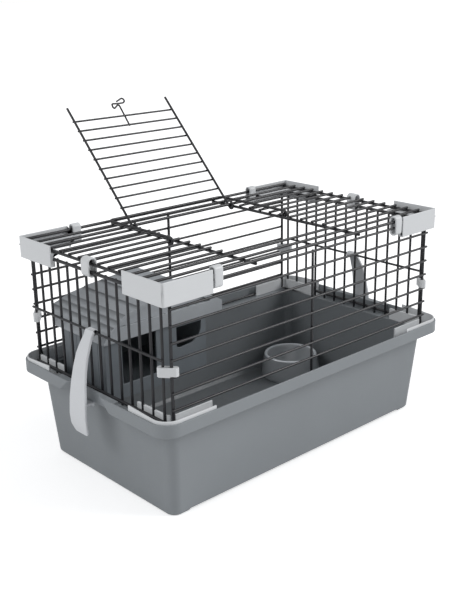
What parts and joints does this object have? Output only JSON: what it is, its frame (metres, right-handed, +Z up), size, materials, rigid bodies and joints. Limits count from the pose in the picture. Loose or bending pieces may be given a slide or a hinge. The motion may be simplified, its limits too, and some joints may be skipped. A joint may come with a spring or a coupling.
{
  "type": "small animal cage",
  "caption": "Rectangular wire cage on a deep plastic tub, with an open roof door, folded handle, side latches, pale corner caps, a raised hide house and a food bowl.",
  "frame": {"origin": "on the table, under the middle of the wire walls", "axes": "+X along the long side to the right as seen from the front, +Y to the back, +Z up"},
  "size_m": [0.6038, 0.462, 0.4989],
  "materials": {
    "tub_plastic": "satin",
    "dark_wire": "satin",
    "pale_plastic": "satin",
    "house_dark_plastic": "satin",
    "house_roof_plastic": "satin",
    "bowl_plastic": "glossy"
  },
  "bodies": {
    "cage": {"tub": "tub_plastic", "front_panel": "dark_wire", "back_panel": "dark_wire", "left_panel": "dark_wire", "right_panel": "dark_wire", "top_panel_front": "dark_wire", "top_panel_back": "dark_wire", "top_panel_left": "dark_wire", "top_panel_right": "dark_wire", "cap_fl": "pale_plastic", "cap_fr": "pale_plastic", "cap_bl": "pale_plastic", "cap_br": "pale_plastic", "rail_fl": "pale_plastic", "rail_fr": "pale_plastic", "rail_bl": "pale_plastic", "rail_br": "pale_plastic", "corner_clip_fl": "pale_plastic", "corner_clip_fr": "pale_plastic", "corner_clip_bl": "pale_plastic", "corner_clip_br": "pale_plastic", "ring_front_l": "pale_plastic", "ring_front_r": "pale_plastic", "ring_back_l": "pale_plastic", "ring_back_r": "pale_plastic", "ring_left": "pale_plastic", "ring_right": "pale_plastic"},
    "door": {"door": "dark_wire", "door_catch": "dark_wire"},
    "handle": {"handle": "dark_wire"},
    "latch_left": {"latch_left": "pale_plastic"},
    "latch_right": {"latch_right": "pale_plastic"},
    "house": {"house_walls": "house_dark_plastic", "house_roof": "house_roof_plastic"},
    "bowl": {"bowl": "bowl_plastic"}
  },
  "joints": [
    {"name": "door_hinge", "type": "hinge", "parent": "cage", "child": "door", "pos_m": [0, 0.1105, 0.331], "axis": [1, 0, 0], "range_deg": [0, 133.8]},
    {"name": "handle_hinge", "type": "hinge", "parent": "cage", "child": "handle", "pos_m": [0, 0, 0.331], "axis": [1, 0, 0], "range_deg": [0, 4]},
    {"name": "latch_left_hinge", "type": "hinge", "parent": "cage", "child": "latch_left", "pos_m": [-0.2683, 0, 0.2314], "axis": [0, 1, 0], "range_deg": [0, 90]},
    {"name": "latch_right_hinge", "type": "hinge", "parent": "cage", "child": "latch_right", "pos_m": [0.2683, 0, 0.2314], "axis": [0, -1, 0], "range_deg": [0, 90]},
    {"name": "house_lift", "type": "slide", "parent": "cage", "child": "house", "axis": [0, 0, 1], "range_m": [0, 0.012]},
    {"name": "bowl_lift", "type": "slide", "parent": "cage", "child": "bowl", "axis": [0, 0, 1], "range_m": [0, 0.12]}
  ]
}
